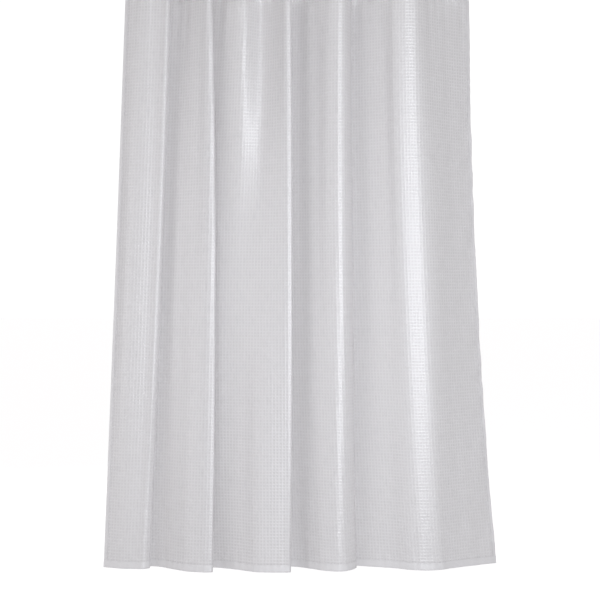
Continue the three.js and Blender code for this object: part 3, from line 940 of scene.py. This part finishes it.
moulded = bpy.data.materials.new("moulded plastic")
moulded.use_nodes = True
moulded_tree = moulded.node_tree
moulded_shader = moulded_tree.nodes["Principled BSDF"]
moulded_shader.inputs["Subsurface Weight"].default_value = 0.15
moulded_shader.inputs["Subsurface Scale"].default_value = 0.002
moulded_place = moulded_tree.nodes.new("ShaderNodeTexCoord")
flow = moulded_tree.nodes.new("ShaderNodeTexNoise")
flow.inputs["Scale"].default_value = 120
flow.inputs["Detail"].default_value = 3
moulded_tree.links.new(moulded_place.outputs["Object"], flow.inputs["Vector"])
moulded_tint = between_colours(
    moulded_tree, flow.outputs["Fac"], (0.80, 0.79, 0.77, 1), (0.88, 0.875, 0.86, 1)
)
moulded_tree.links.new(moulded_tint, moulded_shader.inputs["Base Color"])
moulded_gloss = ramp_between(moulded_tree, flow.outputs["Fac"], 0.35, 0.65, 0.24, 0.4)
moulded_tree.links.new(moulded_gloss, moulded_shader.inputs["Roughness"])
flow_bump = relief(moulded_tree, flow.outputs["Fac"], strength=0.12, distance=0.0001)
moulded_tree.links.new(flow_bump.outputs["Normal"], moulded_shader.inputs["Normal"])

ring_tree = bpy.data.node_groups.new("curtain ring", "GeometryNodeTree")
ring_sockets = {}
for socket_name, socket_type in (
    ("Middle", "NodeSocketVector"),
    ("Wire Circle", "NodeSocketFloat"),
    ("Wire Radius", "NodeSocketFloat"),
    ("Sleeve Radius", "NodeSocketFloat"),
    ("Sleeve Angle", "NodeSocketFloat"),
):
    made = ring_tree.interface.new_socket(socket_name, in_out="INPUT", socket_type=socket_type)
    ring_sockets[socket_name] = made.identifier
ring_tree.interface.new_socket("Ring", in_out="OUTPUT", socket_type="NodeSocketGeometry")
ring_nodes, ring_links = ring_tree.nodes, ring_tree.links
ring_in = ring_nodes.new("NodeGroupInput")
ring_out = ring_nodes.new("NodeGroupOutput")
ring_join = ring_nodes.new("GeometryNodeJoinGeometry")


def swept(path, radius, thickness=None):
    """A round section of that radius carried along a path in the ring's tree."""
    section = ring_nodes.new("GeometryNodeCurvePrimitiveCircle")
    section.inputs["Resolution"].default_value = SECTION_SIDES
    ring_links.new(radius, section.inputs["Radius"])
    sweep = ring_nodes.new("GeometryNodeCurveToMesh")
    sweep.inputs["Fill Caps"].default_value = True
    if thickness is not None:
        swell = ring_nodes.new("GeometryNodeSetCurveRadius")
        ring_links.new(path, swell.inputs["Curve"])
        ring_links.new(thickness, swell.inputs["Radius"])
        path = swell.outputs[0]
    ring_links.new(path, sweep.inputs["Curve"])
    ring_links.new(section.outputs[0], sweep.inputs["Profile Curve"])
    return sweep.outputs[0]


hoop = ring_nodes.new("GeometryNodeCurvePrimitiveCircle")
hoop.inputs["Resolution"].default_value = HOOP_POINTS
ring_links.new(ring_in.outputs["Wire Circle"], hoop.inputs["Radius"])
ring_links.new(swept(hoop.outputs[0], ring_in.outputs["Wire Radius"]), ring_join.inputs[0])
for way_round in (-1, 1):
    sleeve = ring_nodes.new("GeometryNodeCurveArc")
    sleeve.inputs["Resolution"].default_value = SLEEVE_POINTS
    ring_links.new(ring_in.outputs["Wire Circle"], sleeve.inputs["Radius"])
    angle = ring_in.outputs["Sleeve Angle"]
    to_middle = SLEEVE_MIDDLE * way_round
    middle_at = math_node(ring_tree, "MULTIPLY_ADD", angle, to_middle, -math.pi / 2)
    half_sweep = math_node(ring_tree, "MULTIPLY", angle, SLEEVE_HALF * way_round)
    begin = math_node(ring_tree, "SUBTRACT", middle_at, half_sweep)
    ring_links.new(begin, sleeve.inputs["Start Angle"])
    whole_sweep = math_node(ring_tree, "MULTIPLY", half_sweep, 2.0)
    ring_links.new(whole_sweep, sleeve.inputs["Sweep Angle"])
    share = ring_nodes.new("GeometryNodeSplineParameter")
    rounding = ring_nodes.new("ShaderNodeFloatCurve")
    curve = rounding.mapping.curves[0]
    curve.points[0].location = (0.0, SLEEVE_END)
    curve.points[1].location = (1.0, SLEEVE_END)
    curve.points.new(SLEEVE_ROUNDED_BY, SLEEVE_SHOULDER)
    curve.points.new(1 - SLEEVE_ROUNDED_BY, SLEEVE_SHOULDER)
    rounding.mapping.update()
    ring_links.new(share.outputs["Factor"], rounding.inputs["Value"])
    tube = swept(sleeve.outputs[0], ring_in.outputs["Sleeve Radius"], rounding.outputs[0])
    ring_links.new(tube, ring_join.inputs[0])
stand = ring_nodes.new("GeometryNodeTransform")
stand.inputs["Rotation"].default_value = (0, math.pi / 2, 0)
hang = ring_nodes.new("GeometryNodeTransform")
ring_realize = ring_nodes.new("GeometryNodeRealizeInstances")
ring_dress = ring_nodes.new("GeometryNodeSetMaterial")
ring_dress.inputs["Material"].default_value = moulded
ring_links.new(ring_join.outputs[0], stand.inputs["Geometry"])
ring_links.new(stand.outputs[0], hang.inputs["Geometry"])
ring_links.new(ring_in.outputs["Middle"], hang.inputs["Translation"])
ring_links.new(hang.outputs[0], ring_realize.inputs[0])
ring_links.new(ring_realize.outputs[0], ring_dress.inputs["Geometry"])
ring_links.new(ring_dress.outputs[0], ring_out.inputs[0])

for number, (low, high) in zip(ring_numbers, ring_boxes):
    name = f"curtain_ring_{number}"
    ring = bpy.data.objects.new(name, bpy.data.meshes.new(name))
    bpy.context.scene.collection.objects.link(ring)
    shaping = ring.modifiers.new("shaping", "NODES")
    shaping.node_group = ring_tree
    middle_z = high.z - RING_INNER_RADIUS - 2 * WIRE_RADIUS
    shaping[ring_sockets["Middle"]] = ((low.x + high.x) / 2, 0, middle_z)
    shaping[ring_sockets["Wire Circle"]] = RING_INNER_RADIUS + WIRE_RADIUS
    shaping[ring_sockets["Wire Radius"]] = WIRE_RADIUS
    shaping[ring_sockets["Sleeve Radius"]] = SLEEVE_RADIUS
    shaping[ring_sockets["Sleeve Angle"]] = SLEEVE_ANGLE
    work_in_modifiers(ring)
    ring.data.name = name
    ring.data.polygons.foreach_set("use_smooth", [True] * len(ring.data.polygons))
    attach(ring, f"ring_{number}")
    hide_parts(f"ring_{number}")

# ---------------------------------------------------------------------------------------------
# The studio: a pale floor below the hem, white all round, a tall narrow cool light near the
# front right, a broad weak one from the left and another behind.
# ---------------------------------------------------------------------------------------------
FLOOR_BELOW = 0.09
FLOOR_REACH = 60
FLOOR_GLOW = 0.62
SURROUND = 0.47
BACKDROP = 1.05

floor_mesh = bpy.data.meshes.new("studio_floor")
floor_z = cad_box[0][2] - FLOOR_BELOW
floor_corners = [
    (FLOOR_REACH * x, FLOOR_REACH * y, floor_z) for x, y in ((-1, -1), (1, -1), (1, 1), (-1, 1))
]
floor_mesh.from_pydata(floor_corners, [], [(0, 1, 2, 3)])
floor = bpy.data.objects.new("studio_floor", floor_mesh)
bpy.context.scene.collection.objects.link(floor)
floor_paint = bpy.data.materials.new("studio paint")
floor_paint.use_nodes = True
floor_shader = floor_paint.node_tree.nodes["Principled BSDF"]
floor_shader.inputs["Base Color"].default_value = (0.8, 0.8, 0.8, 1)
floor_shader.inputs["Roughness"].default_value = 0.9
floor_shader.inputs["Emission Color"].default_value = (1, 1, 1, 1)
floor_tree = floor_paint.node_tree
floor_seen = floor_tree.nodes.new("ShaderNodeLightPath")
floor_glow = math_node(floor_tree, "MULTIPLY", floor_seen.outputs["Is Camera Ray"], FLOOR_GLOW)
floor_tree.links.new(floor_glow, floor_shader.inputs["Emission Strength"])
floor_mesh.materials.append(floor_paint)

world = bpy.data.worlds.new("studio")
world.use_nodes = True
bpy.context.scene.world = world
world_nodes, world_links = world.node_tree.nodes, world.node_tree.links
surround = world_nodes["Background"]
surround.inputs["Color"].default_value = (1.0, 0.976, 0.982, 1)
surround.inputs["Strength"].default_value = SURROUND
backdrop = world_nodes.new("ShaderNodeBackground")
backdrop.inputs["Color"].default_value = (1, 1, 1, 1)
backdrop.inputs["Strength"].default_value = BACKDROP
seen = world_nodes.new("ShaderNodeLightPath")
either = world_nodes.new("ShaderNodeMixShader")
world_links.new(seen.outputs["Is Camera Ray"], either.inputs[0])
world_links.new(surround.outputs[0], either.inputs[1])
world_links.new(backdrop.outputs[0], either.inputs[2])
world_links.new(either.outputs[0], world_nodes["World Output"].inputs["Surface"])


def soft_light(name, place, aim, width, height, power, colour):
    light = bpy.data.lights.new(name, "AREA")
    light.shape = "RECTANGLE"
    light.size, light.size_y = width, height
    light.energy = power
    light.color = colour
    holder = bpy.data.objects.new(name, light)
    holder.location = place
    holder.rotation_euler = (Vector(aim) - Vector(place)).to_track_quat("-Z", "Y").to_euler()
    bpy.context.scene.collection.objects.link(holder)


soft_light("key", (0.7, -2.8, -0.85), (0.1, 0, -0.85), 0.6, 2.5, 40, (0.92, 0.95, 1.0))
soft_light("fill", (-2.6, -1.7, -1.0), (-0.3, 0, -1.1), 1.6, 2.2, 11, (0.98, 0.97, 1.0))
soft_light("back", (-0.9, 3.0, -0.8), (0, 0, -1.0), 2.2, 2.0, 13, (1.0, 0.97, 0.95))
bpy.context.scene.view_settings.view_transform = "Standard"
